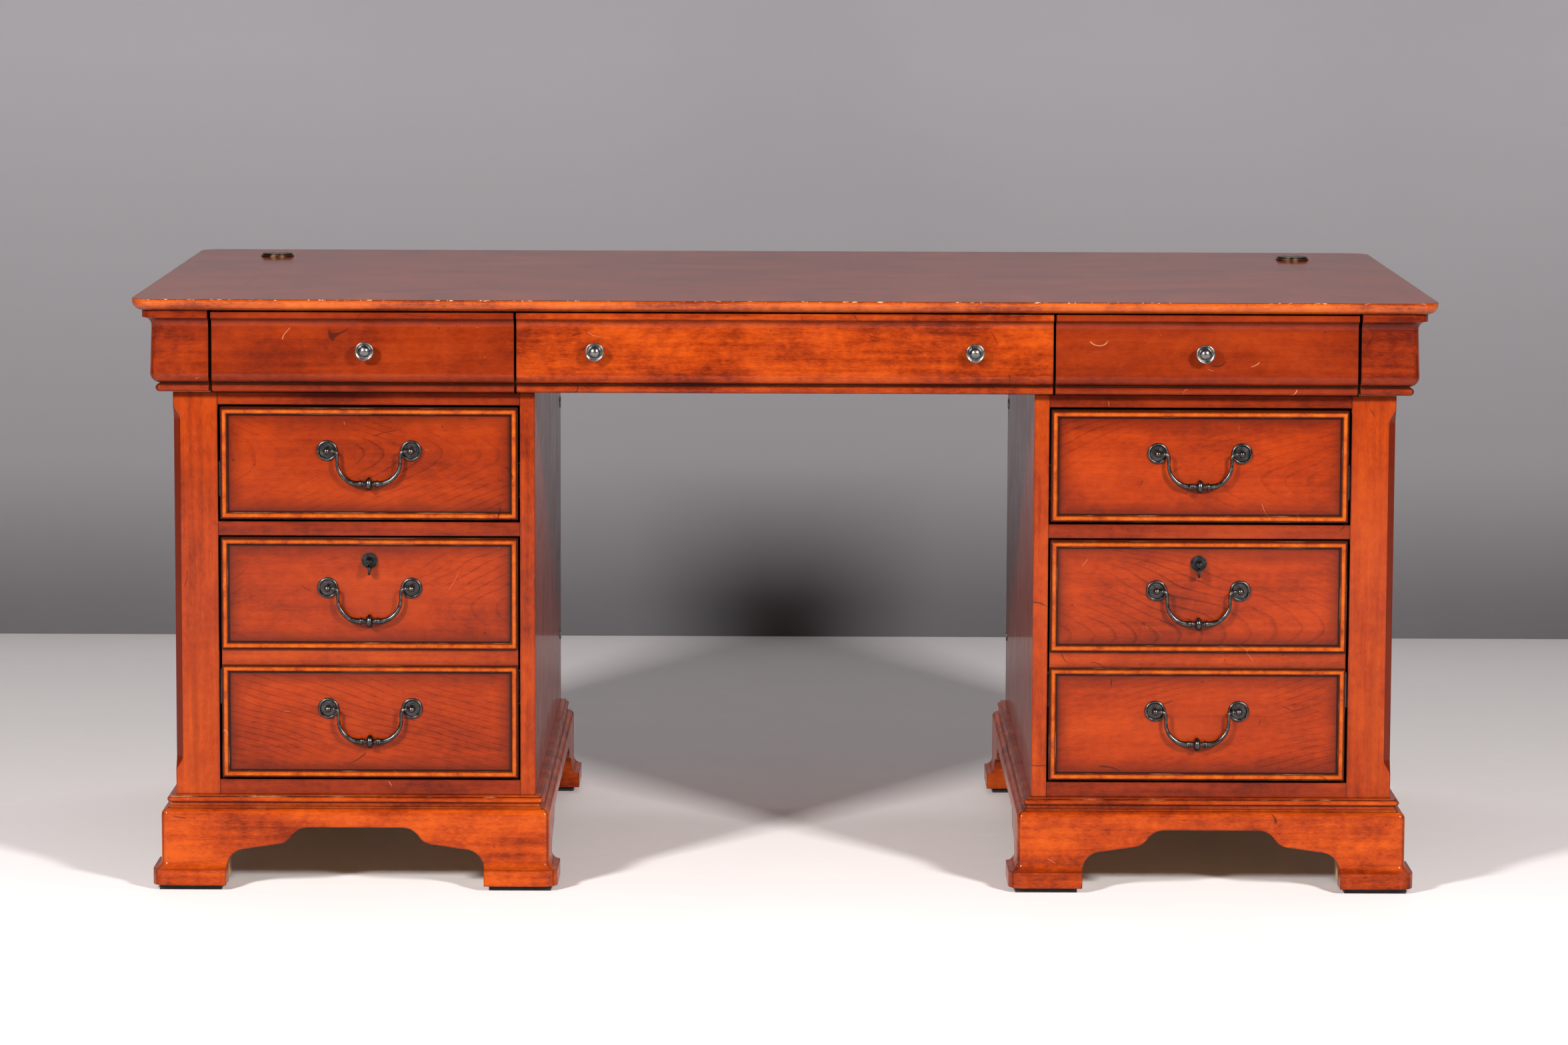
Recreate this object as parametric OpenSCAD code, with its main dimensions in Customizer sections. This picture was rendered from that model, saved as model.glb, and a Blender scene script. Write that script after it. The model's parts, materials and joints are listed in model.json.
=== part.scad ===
// Double-pedestal kneehole desk with an ogee frieze, bracket feet and file drawers.
// Origin: on the floor under the middle of the desktop. +X is right as seen from the front,
// -Y is the front, +Z is up. Millimetres.

/* [Desktop] */
// Width of the desktop
top_w = 1670; // [1600:10:1760]
// Depth of the desktop
top_d = 920; // [880:10:980]
// Height of the desktop above the floor
desk_h = 768; // [760:1:780]
// Thickness of the desktop
top_t = 15; // [13:1:20]
// Radius of the desktop's corners in plan
top_corner_r = 28; // [20:1:40]
// Radius that rounds the desktop's edge under
top_under_r = 12; // [8:1:12]

/* [Pedestals] */
// Distance from the middle of the desk to each pedestal's inner face
knee_half = 321; // [300:1:325]
// Distance from the middle of the desk to each pedestal's outer face
ped_out = 786; // [780:1:790]
// Front face of the pedestals, in front of the origin
face_y = 412; // [405:1:415]
// Rear face of the pedestals, behind the origin
rear_y = 428; // [420:1:432]
// Width of the corner posts
post_w = 57; // [50:1:60]
// Thickness of the inner sides
side_t = 19.5; // [18:0.5:21]

/* [Base] */
// Height of the foot pads
pad_h = 6.5; // [4:0.5:8]
// Top of the bracket-foot boards
base_z = 105; // [100:1:108]
// Height of the arches in the bracket feet
arch_h = 81.5; // [76:0.5:86]
// Length of a bracket foot at the floor, seen from the front
foot_len = 95.5; // [84:0.5:100]

/* [Drawers] */
// Gap between a drawer front and the piece beside it
front_gap = 2.5; // [2:0.5:4]
// Thickness of the pedestal drawer fronts
front_t = 20; // [18:1:22]
// Width of the mitred frame moulding
mould_w = 9.5; // [8:0.5:12]
// Length of the pedestal drawer boxes
box_len = 600; // [500:10:640]
// Length of the frieze drawer boxes
frieze_box_len = 420; // [360:10:460]

/* [Hardware] */
// Distance between the two rosettes of a handle
bail_span = 108; // [100:1:116]
// Drop of the bail below its pivots
bail_drop = 42; // [38:1:44]
// Diameter of the knobs
knob_d = 24; // [20:1:28]
// Diameter of the lock's face
lock_d = 21; // [19:1:24]
// Diameter of the grommets' flange
grommet_d = 46; // [42:1:50]
// Distance from the middle of the desk to each grommet
grommet_x = 716; // [690:1:730]
// Distance from the origin back to each grommet
grommet_y = 320; // [300:1:340]

/* [Hidden] */
$fn = 64;

// Colours
cherry = "#9c3410";
cherry_dark = "#7a240c";
cherry_bright = "#b8470f";
top_veneer = "#7d4a3c";
raw_wood = "#c79a62";
ply = "#b98a5a";
pewter = "#4a4038";
bronze = "#6b4a30";
steel = "#a8a8a8";
black = "#1a1a1a";

eps = 1;                                   // how far a cutter runs past what it cuts
glue = 0.05;                               // glue line left between the pieces of one node
frieze_z = 647;                            // underside of the frieze
carcass_z = 122;                           // top of the plinth moulding, where the carcass starts
chamfer_from = 28;                         // a post's chamfer starts this far above carcass_z
chamfer_to = 14;                           // and ends this far below the post's top
slab_z = desk_h - top_t;                   // underside of the desktop
frieze_h = slab_z - frieze_z;              // height of the fixed frieze
drawer_frieze_h = frieze_h - 2;            // a frieze drawer clears the desktop
ped_top_z = frieze_z - 2;                  // top of the pedestals' posts and sides

// Grommets
grommet_flange_h = 3;
grommet_tube_r = grommet_d / 2 - 2;
grommet_bore_r = grommet_d / 2 - 6;
grommet_seat_r = grommet_d / 2 - 3.8;
grommet_let_in = 1;                        // how far the flange is let into the desktop
cap_sunk = 3;                              // how far the cap's recess goes below the desktop

// Frieze profile: distances out from the carcass plane, heights above the frieze's underside
frieze_out = 37;                           // top fillet
frieze_body_out = 27.2;                    // body at its fullest
frieze_body_top = 25;                      // body under the cove
frieze_bead_out = 20.7;
frieze_bead_r = 5;
frieze_round_r = 12;
frieze_round_v = 24;
frieze_cove_r = 11;
frieze_cove_v = 85;
frieze_turn = 14;                          // centre of the rounded corner
block_x = 737.5;                           // inner end of the corner blocks
seat_u = 25.5;                             // depth of the flat that a knob stands on
frieze_back = -face_y - 0.5;               // back plane of the frieze drawer fronts
frieze_split = 345;                        // middle of the gap between two frieze drawers

// Pedestal layout, right pedestal
open_in = knee_half + side_t;              // drawer opening, inner side
open_out = ped_out - post_w;               // drawer opening, outer side
outer_gap = front_gap + 1;                 // the gap beside the corner post
front_in = open_in + front_gap;
front_out = open_out - outer_gap;
front_mid = (front_in + front_out) / 2;
top_rail = [629, ped_top_z];
mid_rail = [459.5, 477.5];
bottom_rail = [carcass_z, 141.5];
upper_front = [481, 625.5];
file_front = [144.5, 457];
false_rail = [291.5, 312];                 // shallow band across the file drawer's front
rail_t = 20;
panel_t = 12;
panel_z = [192, 575];                      // raised panels, between their rails
back_panel_x = open_in + 36;               // inner edge of the back panels

// Base
base_out = 18.5;                           // face of the bracket foot, out from the post
flange_out = 29.5;
flange_z = 27.5;
base_turn = 10;
base_in = -6;                              // back of the boards
plinth_out = 11.5;
plinth_turn = 4;
base_rear = 436;
pad_len = 80;

// Sockets for a modesty panel
connector_z = [220, 555];
connector_y = 402;
connector_r = 6;
connector_len = 12;

// Handles and locks
hinge_out = 10;                            // bail pivot, out from the drawer's field
pin_r = 2;
bolt_r = 2;
bail_r = 2.3;                              // the bail's arms
bar_r = 3.9;                               // its bar, next to the collars
bar_from = 12.5;                           // where the collars end and the bar's curve starts
pin_in = 1.5;                              // how far a pin runs past the middle of its ball
lock_barrel_r = 8.5;
upper_bail_z = 570;
middle_bail_z = 392;
lower_bail_z = 235;
lock_z = 427.5;
plug_r = 6.4;
cam_back = 3;                              // gap from the front's back to the cam
key_t = 3;                                 // thickness of the key's bow
key_pivot_out = 11;                        // pin of the folding bow, out from the drawer's field
knob_z = 701.6;
knob_side_x = 537;
knob_centre_x = 243;

// Slides
slide_t = 12.7;
upper_slide_z = 530;
file_slide_z = 260;
slide_len = 598;
slide_y0 = -face_y + front_t + 2;          // front end of every slide
upper_box = [496, 604];
file_box = [160, 440];
frieze_box = [659, 733];

// ---------- helpers ----------

// A box given by its limits along each axis
module block(x, y, z) {
    translate([x[0], y[0], z[0]]) cube([x[1] - x[0], y[1] - y[0], z[1] - z[0]]);
}

// The right-hand piece as it is, the left-hand one as its mirror image
module on_side(side) {
    if (side < 0) mirror([1, 0, 0]) children();
    else children();
}

module both_sides() {
    for (side = [-1, 1]) on_side(side) children();
}

// A section (out, up) run along X and facing the front
module run_x(x0, x1, y) {
    translate([x1, y, 0]) rotate([90, 0, -90]) linear_extrude(x1 - x0) children();
}

// A section (out, up) run along Y and facing +X
module run_y(x, y0, y1) {
    translate([x, y1, 0]) rotate([90, 0, 0]) linear_extrude(y1 - y0) children();
}

// A section (out, up) turned about a vertical line
module turned_corner(x, y, start, sweep) {
    translate([x, y, 0]) rotate([0, 0, start]) rotate_extrude(angle = sweep) children();
}

// Everything in front of the 45 degree mitre through a front right corner
module front_of_mitre(x, y) {
    reach = 2000;
    linear_extrude(desk_h) polygon([[x - reach, y + reach], [x + reach, y - reach], [x - reach, y - reach]]);
}

// Everything in front of the 45 degree mitre through a front left corner
module front_of_left_mitre(x, y) {
    translate([2 * x, 0, 0]) mirror([1, 0, 0]) front_of_mitre(x, y);
}

// A shape drawn on the drawer's face (right, up, out), set at a height on the front plane
module on_front(x, z, y = -face_y) {
    translate([x, y, z]) rotate([90, 0, 0]) children();
}

// Four mitred lengths of moulding round a rectangle; the child is the section (in from the edge, out)
module mitred_frame(w, h, width, proud) {
    for (turn = [0:3]) {
        along = turn % 2 == 0 ? w : h;
        across = turn % 2 == 0 ? h : w;
        rotate([0, 0, 90 * turn]) intersection() {
            translate([-along / 2, -across / 2, 0]) rotate([90, 0, 90]) linear_extrude(along) children();
            linear_extrude(proud) polygon([
                [-along / 2, -across / 2], [along / 2, -across / 2],
                [along / 2 - width, -across / 2 + width], [-along / 2 + width, -across / 2 + width]
            ]);
        }
    }
}

// ---------- desktop ----------

module desktop_core() {
    core_w = top_w - 2 * top_corner_r;
    core_d = top_d - 2 * top_corner_r;
    color(top_veneer) difference() {
        translate([-core_w / 2, -core_d / 2, slab_z]) cube([core_w, core_d, top_t]);
        for (side = [-1, 1]) {
            translate([side * grommet_x, grommet_y, slab_z - eps]) {
                cylinder(r = grommet_tube_r, h = top_t + 2 * eps);
            }
            translate([side * grommet_x, grommet_y, desk_h - grommet_let_in]) {
                cylinder(r = grommet_d / 2 + 0.1, h = grommet_let_in + eps);
            }
        }
    }
}

// Crisp at the top, rounded under
module edge_section() {
    square([top_corner_r - top_under_r, top_t]);
    translate([0, top_under_r]) square([top_corner_r, top_t - top_under_r]);
    intersection() {
        translate([top_corner_r - top_under_r, top_under_r]) circle(top_under_r);
        square([top_corner_r, top_under_r]);
    }
}

// One length of the edge band, mitred in the middle of each rounded corner
module edge_length(along, across) {
    intersection() {
        union() {
            run_x(-along / 2, along / 2, -across / 2) edge_section();
            turned_corner(along / 2, -across / 2, -90, 90) edge_section();
            turned_corner(-along / 2, -across / 2, 180, 90) edge_section();
        }
        translate([0, -glue, 0]) front_of_mitre(along / 2, -across / 2);
        translate([0, -glue, 0]) front_of_left_mitre(-along / 2, -across / 2);
    }
}

module edge_moulding() {
    core_w = top_w - 2 * top_corner_r;
    core_d = top_d - 2 * top_corner_r;
    color(cherry_bright) translate([0, 0, slab_z]) {
        for (turn = [0, 180]) rotate([0, 0, turn]) edge_length(core_w, core_d);
        for (turn = [90, 270]) rotate([0, 0, turn]) edge_length(core_d, core_w);
    }
}

// Flanged sleeve through the desktop; its top is recessed for the cap
module grommet_sleeves() {
    color(bronze) for (side = [-1, 1]) {
        translate([side * grommet_x, grommet_y, slab_z]) difference() {
            union() {
                cylinder(r = grommet_tube_r, h = top_t);
                translate([0, 0, top_t]) cylinder(r = grommet_d / 2 - 1, h = grommet_flange_h);
                translate([0, 0, top_t - grommet_let_in]) {
                    cylinder(r = grommet_d / 2, h = grommet_flange_h + grommet_let_in - 1);
                }
            }
            translate([0, 0, -eps]) cylinder(r = grommet_bore_r, h = top_t + grommet_flange_h + 2 * eps);
            translate([0, 0, top_t - cap_sunk]) {
                cylinder(r = grommet_seat_r, h = cap_sunk + grommet_flange_h + eps);
            }
        }
    }
}

// Loose cap with a notch for a cable at the rear
module grommet_cap(side) {
    play = 0.3;
    cap_r = grommet_seat_r + 1.6;
    skirt_r = grommet_seat_r - play;
    skirt_t = 1.1;
    notch_w = 14;
    notch_deep = 11;
    bottom = -cap_sunk + play;
    top = grommet_flange_h + 1.8;
    color(bronze) translate([side * grommet_x, grommet_y, desk_h]) difference() {
        union() {
            translate([0, 0, grommet_flange_h + 0.1]) cylinder(r = cap_r, h = top - grommet_flange_h - 0.1);
            translate([0, 0, bottom]) cylinder(r = skirt_r, h = top - bottom - 0.5);
        }
        translate([0, 0, bottom - eps]) cylinder(r = skirt_r - skirt_t, h = grommet_flange_h - bottom + eps);
        translate([-notch_w / 2, cap_r - notch_deep, bottom - eps]) cube([notch_w, 2 * notch_deep, 20]);
    }
}

// ---------- frieze ----------

module frieze_section(h) {
    cove_out = frieze_body_top + frieze_cove_r;
    square([frieze_body_out - frieze_round_r, h]);
    square([frieze_bead_out - frieze_bead_r, 2 * frieze_bead_r]);
    translate([frieze_bead_out - frieze_bead_r, frieze_bead_r]) circle(frieze_bead_r);
    translate([frieze_body_out - frieze_round_r, frieze_round_v]) circle(frieze_round_r);
    polygon([
        [0, frieze_round_v], [frieze_body_out, frieze_round_v],
        [frieze_body_top, frieze_cove_v], [0, frieze_cove_v]
    ]);
    difference() {
        translate([0, frieze_cove_v]) square([cove_out, frieze_cove_r]);
        translate([cove_out, frieze_cove_v]) circle(frieze_cove_r);
    }
    translate([0, frieze_cove_v + frieze_cove_r]) square([frieze_out, h - frieze_cove_v - frieze_cove_r]);
}

// The frieze turned round a front corner, before it is mitred
module frieze_corner() {
    x = ped_out + frieze_turn;
    y = -face_y - frieze_turn;
    translate([0, 0, frieze_z]) {
        run_x(block_x, x, -face_y) frieze_section(frieze_h);
        run_y(ped_out, y, rear_y) frieze_section(frieze_h);
        turned_corner(x, y, -90, 90) intersection() {
            translate([-frieze_turn, 0]) frieze_section(frieze_h);
            square([frieze_out, frieze_h]);
        }
    }
}

module frieze_corner_blocks() {
    color(cherry) both_sides() intersection() {
        frieze_corner();
        front_of_mitre(ped_out, -face_y);
    }
}

module frieze_side_mouldings() {
    color(cherry) both_sides() difference() {
        frieze_corner();
        front_of_mitre(ped_out, -face_y);
    }
}

// Sides, back, dividers, blocking behind the corners, top stretcher and drawer runners
module frieze_carcass() {
    side_in = ped_out - rail_t;
    back_y = rear_y - rail_t;
    stretcher_deep = 60;
    stretcher_t = 14;
    stretcher_y = -face_y + 4;
    runner_w = 20;
    runner_from = -face_y + 32;
    runner_y = [runner_from, runner_from + frieze_box_len];
    runner_z = [ped_top_z, frieze_box[0] - 0.4];
    guide_x = open_out + 8;
    guide_z = [ped_top_z, slab_z - 40];
    color(raw_wood) {
        both_sides() {
            block([side_in, ped_out], [-face_y, rear_y], [ped_top_z, slab_z]);
            block([block_x, side_in - glue], [-face_y, -face_y + rail_t], [ped_top_z, slab_z]);
            block([knee_half, open_in], [-face_y + 2, back_y - glue], [ped_top_z, slab_z]);
            block([open_in + glue, open_in + runner_w], runner_y, runner_z);
            block([guide_x - runner_w, guide_x - glue], runner_y, runner_z);
            block([guide_x, side_in - glue], runner_y, guide_z);
            block([knee_half - runner_w, knee_half - glue], runner_y, runner_z);
        }
        block([-side_in + glue, side_in - glue], [back_y, rear_y], [ped_top_z, slab_z]);
        block([-knee_half + glue, knee_half - glue], [stretcher_y, stretcher_y + stretcher_deep], [
            slab_z - stretcher_t, slab_z
        ]);
    }
}

// ---------- pedestals ----------

// Outline that cuts a stopped chamfer: depth across, height up, an S curve at each end
module chamfer_outline(z0, z1) {
    deep = 6.4;
    taper = 22;
    steps = 8;
    function s_curve(t) = deep * (1 - cos(180 * t)) / 2;
    polygon(concat(
        [[eps, z0]],
        [for (i = [0:steps]) [-s_curve(i / steps), z0 + taper * i / steps]],
        [for (i = [0:steps]) [-s_curve(1 - i / steps), z1 - taper + taper * i / steps]],
        [[eps, z1], [deep * 2, z1], [deep * 2, z0]]
    ));
}

// A square post whose outer front corner has a stopped chamfer
module front_post() {
    difference() {
        block([open_out, ped_out], [-face_y, -face_y + post_w], [carcass_z, ped_top_z]);
        translate([ped_out, -face_y, 0]) rotate([0, 0, -45]) rotate([90, 0, 0]) {
            translate([0, 0, -post_w]) linear_extrude(2 * post_w) {
                chamfer_outline(carcass_z + chamfer_from, ped_top_z - chamfer_to);
            }
        }
    }
}

module corner_posts() {
    color(cherry) both_sides() {
        front_post();
        block([open_out, ped_out], [rear_y - post_w, rear_y], [carcass_z, ped_top_z]);
    }
}

// Rails of the framed outer sides and backs
module side_and_back_rails() {
    post_y = [-face_y + post_w, rear_y - post_w];
    back_y = [rear_y - rail_t, rear_y];
    color(cherry) both_sides() {
        for (z = [[carcass_z, panel_z[0]], [panel_z[1], ped_top_z]]) {
            block([ped_out - rail_t, ped_out], post_y, z);
            block([open_in, open_out], back_y, z);
        }
        block([open_in, back_panel_x], back_y, [panel_z[0] + glue, panel_z[1] - glue]);
    }
}

// Frame moulding that stands proud of the rails round it: (in from the edge, out from the sunk panel)
module bolection_section(w, sunk) {
    bead_r = 3.2;
    square([w, sunk]);
    square([w * 0.6, sunk + 1.5]);
    translate([bead_r, sunk]) square([2, bead_r]);
    intersection() {
        translate([bead_r + 1, sunk]) circle(bead_r);
        square([w, sunk + bead_r]);
    }
}

// A raised panel with a moulded frame planted on its edges; (right, up, out) with the rails' face at zero
module framed_panel(w, h) {
    sunk = 6;
    frame_w = 16;
    raise_in = 45;
    translate([-w / 2, -h / 2, -sunk - panel_t]) cube([w, h, panel_t]);
    translate([0, 0, -sunk]) linear_extrude(sunk) square([w - 2 * raise_in, h - 2 * raise_in], center = true);
    translate([0, 0, -sunk]) mitred_frame(w, h, frame_w, 2 * sunk) bolection_section(frame_w, sunk);
}

module raised_panels() {
    panel_h = panel_z[1] - panel_z[0];
    mid_z = (panel_z[0] + panel_z[1]) / 2;
    color(cherry_dark) both_sides() {
        translate([ped_out, (rear_y - face_y) / 2, mid_z]) rotate([90, 0, 90]) {
            framed_panel(rear_y + face_y - 2 * post_w, panel_h);
        }
        translate([(back_panel_x + open_out) / 2, rear_y, mid_z]) rotate([90, 0, 180]) {
            framed_panel(open_out - back_panel_x, panel_h);
        }
    }
}

// Flat inner sides, bored through for the panel connectors
module inner_sides() {
    color(cherry) both_sides() difference() {
        block([knee_half, open_in], [-face_y, rear_y], [carcass_z, ped_top_z]);
        for (z = connector_z) {
            translate([knee_half - eps, connector_y, z]) rotate([0, 90, 0]) {
                cylinder(r = connector_r, h = side_t + 2 * eps);
            }
        }
    }
}

// Screwed sockets for a modesty panel
module panel_connectors() {
    flange_r = 8;
    flange_h = 1.2;
    bore_r = 3.2;
    color(steel) both_sides() for (z = connector_z) {
        translate([knee_half, connector_y, z]) rotate([0, 90, 0]) difference() {
            union() {
                cylinder(r = connector_r, h = connector_len);
                translate([0, 0, -flange_h]) cylinder(r = flange_r, h = flange_h);
            }
            translate([0, 0, -flange_h - eps]) cylinder(r = bore_r, h = connector_len + flange_h);
        }
    }
}

module front_rails() {
    color(cherry) both_sides() {
        for (z = [top_rail, mid_rail, bottom_rail]) {
            block([open_in, open_out], [-face_y, -face_y + rail_t], z);
        }
    }
}

// Bottom and top boards, each with a strip between the front posts and one between the rear posts
module pedestal_boards() {
    board_t = 12;
    post_y = [-face_y + post_w, rear_y - post_w];
    color(ply) both_sides() for (z = [carcass_z, ped_top_z - board_t]) {
        block([open_in, ped_out - rail_t], post_y, [z, z + board_t]);
        block([open_in, open_out], [-face_y + rail_t, post_y[0] - glue], [z, z + board_t]);
        block([open_in, open_out], [post_y[1] + glue, rear_y - rail_t], [z, z + board_t]);
    }
}

// Battens between the posts that carry the outer slides
module slide_packers() {
    packer_h = 46;
    packer_out = ped_out - 6 - panel_t;
    color(raw_wood) both_sides() for (z = [upper_slide_z, file_slide_z]) {
        block([open_out, packer_out], [-face_y + post_w, rear_y - post_w], [
            z - packer_h / 2, z + packer_h / 2
        ]);
    }
}

// ---------- base ----------

module plinth_section() {
    h = carcass_z - base_z;
    bead_r = 3.2;
    bead_v = 11.2;
    translate([-rail_t, 0]) square([rail_t + 7, h]);
    translate([0, h - 2.5]) square([7.5, 2.5]);
    translate([0, bead_v - bead_r]) square([plinth_out - bead_r, 2 * bead_r]);
    translate([plinth_out - bead_r, bead_v]) circle(bead_r);
    difference() {
        square([10.5, 6]);
        translate([10.5, 6]) circle(3.5);
    }
}

module base_section() {
    top_r = 8;
    flare_r = 10.5;
    translate([base_in, pad_h]) square([base_out - base_in - top_r, base_z - pad_h]);
    translate([base_in, pad_h]) square([base_out - base_in, base_z - pad_h - top_r]);
    translate([base_out - top_r, base_z - top_r]) circle(top_r);
    translate([base_in, pad_h]) square([flange_out - base_in, flange_z - pad_h]);
    difference() {
        translate([0, flange_z]) square([base_out + flare_r, flare_r]);
        translate([base_out + flare_r, flange_z + flare_r]) circle(flare_r);
    }
}

// A section run round the front and both sides of the right pedestal; part is "front", "outer" or "inner"
module round_pedestal(part, turn, rear) {
    y = -face_y - turn;
    reach = 60;
    if (part == "front") intersection() {
        union() {
            run_x(knee_half - turn, ped_out + turn, -face_y) children();
            turned_corner(ped_out + turn, y, -90, 90) clip_section(turn, reach) children();
            turned_corner(knee_half - turn, y, 180, 90) clip_section(turn, reach) children();
        }
        translate([0, -glue, 0]) front_of_mitre(ped_out, -face_y);
        translate([0, -glue, 0]) front_of_left_mitre(knee_half, -face_y);
    }
    if (part == "outer") difference() {
        union() {
            run_y(ped_out, y, rear) children();
            turned_corner(ped_out + turn, y, -90, 90) clip_section(turn, reach) children();
        }
        front_of_mitre(ped_out, -face_y);
    }
    if (part == "inner") difference() {
        union() {
            translate([2 * knee_half, 0, 0]) mirror([1, 0, 0]) run_y(knee_half, y, rear) children();
            turned_corner(knee_half - turn, y, 180, 90) clip_section(turn, reach) children();
        }
        front_of_left_mitre(knee_half, -face_y);
    }
}

// The part of a section beyond the turning centre, moved so that the centre is at zero
module clip_section(turn, reach) {
    intersection() {
        translate([-turn, 0]) children();
        square([reach, 2 * reach]);
    }
}

module plinth_mouldings() {
    color(cherry_bright) both_sides() {
        translate([0, 0, base_z]) for (part = ["front", "outer", "inner"]) {
            round_pedestal(part, plinth_turn, rear_y) plinth_section();
        }
        block([knee_half + rail_t + glue, ped_out - rail_t - glue], [rear_y - rail_t, rear_y], [
            base_z, carcass_z
        ]);
    }
}

// Opening of a bracket foot: quarter-round shoulders, then an ogee up to a flat
module arch_outline(half) {
    shoulder_r = 26;
    ogee_r = 25.2;
    ogee_w = 21;
    ogee_drop = 11.25;
    flat_half = half - 105.5;
    mid_x = flat_half + ogee_w;
    low_x = mid_x + ogee_w;
    low_z = arch_h - 2 * ogee_drop;
    translate([-half, 0]) square([2 * half, flange_z]);
    translate([-flat_half, 0]) square([2 * flat_half, arch_h]);
    for (side = [-1, 1]) mirror([side < 0 ? 1 : 0, 0]) {
        translate([half - shoulder_r, flange_z]) circle(shoulder_r);
        polygon([
            [0, 0], [half - shoulder_r, 0], [half - shoulder_r, flange_z + shoulder_r],
            [low_x, low_z], [0, low_z]
        ]);
        intersection() {
            translate([flat_half, arch_h - ogee_r]) circle(ogee_r);
            translate([flat_half, low_z - eps]) square([ogee_w, arch_h]);
        }
        difference() {
            translate([mid_x, low_z - eps]) square([ogee_w, ogee_drop + eps]);
            translate([low_x, low_z + ogee_r]) circle(ogee_r);
        }
    }
}

module front_arch() {
    half = (ped_out - knee_half) / 2 + flange_out - foot_len;
    on_front((ped_out + knee_half) / 2, 0, 0) translate([0, 0, -600]) linear_extrude(1200) arch_outline(half);
}

module side_arch() {
    front = -face_y - flange_out;
    half = (base_rear - front) / 2 - foot_len;
    translate([0, (base_rear + front) / 2, 0]) rotate([90, 0, 90]) linear_extrude(1000) arch_outline(half);
}

// Front, outer, inner and rear boards of each base, every one with its arch
module bracket_foot_boards() {
    back_x = [knee_half - base_in + glue, ped_out + base_in - glue];
    color(cherry_bright) both_sides() {
        difference() {
            round_pedestal("front", base_turn, base_rear) base_section();
            front_arch();
        }
        for (part = ["outer", "inner"]) difference() {
            round_pedestal(part, base_turn, base_rear) base_section();
            side_arch();
        }
        difference() {
            block(back_x, [base_rear - rail_t, base_rear], [pad_h, base_z]);
            front_arch();
        }
    }
}

// Blocks glued inside the feet
module foot_glue_blocks() {
    block_w = 58;
    xs = [knee_half - base_in, ped_out + base_in - block_w];
    ys = [-face_y - base_in, base_rear - rail_t - block_w];
    color(raw_wood) both_sides() for (x = xs, y = ys) {
        translate([x, y, pad_h]) cube([block_w, block_w, base_z - pad_h]);
    }
}

module foot_pads() {
    inset = 9;
    xs = [knee_half - flange_out + inset, ped_out + flange_out - inset - pad_len];
    ys = [-face_y - flange_out + inset, base_rear - inset - pad_len];
    color(black) both_sides() for (x = xs, y = ys) {
        translate([x, y, 0]) cube([pad_len, pad_len, pad_h]);
    }
}

// ---------- slides ----------

// Channel section standing off a wall at x = 0: (out, up)
module channel(out0, out1, half_h, t) {
    translate([out0, -half_h]) square([t, 2 * half_h]);
    for (side = [-1, 1]) {
        translate([out0, side > 0 ? half_h - t : -half_h]) square([out1 - out0, t]);
    }
}

// The same member at the inner wall and, mirrored, at the outer wall of the right pedestal
module at_both_walls(z, len) {
    translate([open_in, slide_y0 + len, z]) rotate([90, 0, 0]) linear_extrude(len) children();
    translate([open_out, slide_y0 + len, z]) mirror([1, 0, 0]) rotate([90, 0, 0]) {
        linear_extrude(len) children();
    }
}

module carcass_slides() {
    color(steel) both_sides() for (z = [upper_slide_z, file_slide_z]) {
        at_both_walls(z, slide_len) channel(0, 9.5, 22.5, 1.2);
    }
}

module drawer_slides(side, z) {
    color(steel) on_side(side) at_both_walls(z, slide_len) {
        translate([slide_t, 0]) mirror([1, 0]) channel(0, 6.2, 14, 1.2);
    }
}

module slide_carriers(side) {
    color(steel) on_side(side) at_both_walls(file_slide_z, slide_len) channel(2.4, 10, 20.2, 1.2);
}

// ---------- drawers ----------

// Sides, back and bottom of a drawer box
module drawer_box(x, y, z) {
    t = 12;
    bottom_t = 5;
    lift = 6;
    color(raw_wood) {
        block([x[0], x[0] + t], y, z);
        block([x[1] - t, x[1]], y, z);
        block([x[0] + t + glue, x[1] - t - glue], [y[1] - t, y[1]], z);
        block([x[0] + t + glue, x[1] - t - glue], [y[0], y[1] - t - glue], [
            z[0] + lift, z[0] + lift + bottom_t
        ]);
    }
}

module pedestal_box(side, z) {
    back = -face_y + front_t;
    on_side(side) drawer_box([open_in + slide_t, open_out - slide_t], [back, back + box_len], z);
}

// An ogee frieze front with a flat seat and a stud hole for each knob
module frieze_front(x, knobs) {
    color(cherry_dark) difference() {
        translate([0, 0, frieze_z]) run_x(x[0], x[1], frieze_back) frieze_section(drawer_frieze_h);
        for (knob_x = knobs) on_front(knob_x, knob_z, frieze_back) {
            translate([0, 0, seat_u]) cylinder(r = 8.1, h = 20);
            translate([0, 0, seat_u - 16]) cylinder(r = bolt_r + 0.1, h = 30);
        }
    }
}

module side_frieze_front(side) {
    on_side(side) frieze_front([frieze_split + 1.5, block_x - 4], [knob_side_x]);
}

module side_frieze_box(side) {
    x = [frieze_split + 1.5, open_out - 2];
    on_side(side) drawer_box(x, [frieze_back, frieze_back + frieze_box_len], frieze_box);
}

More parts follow.
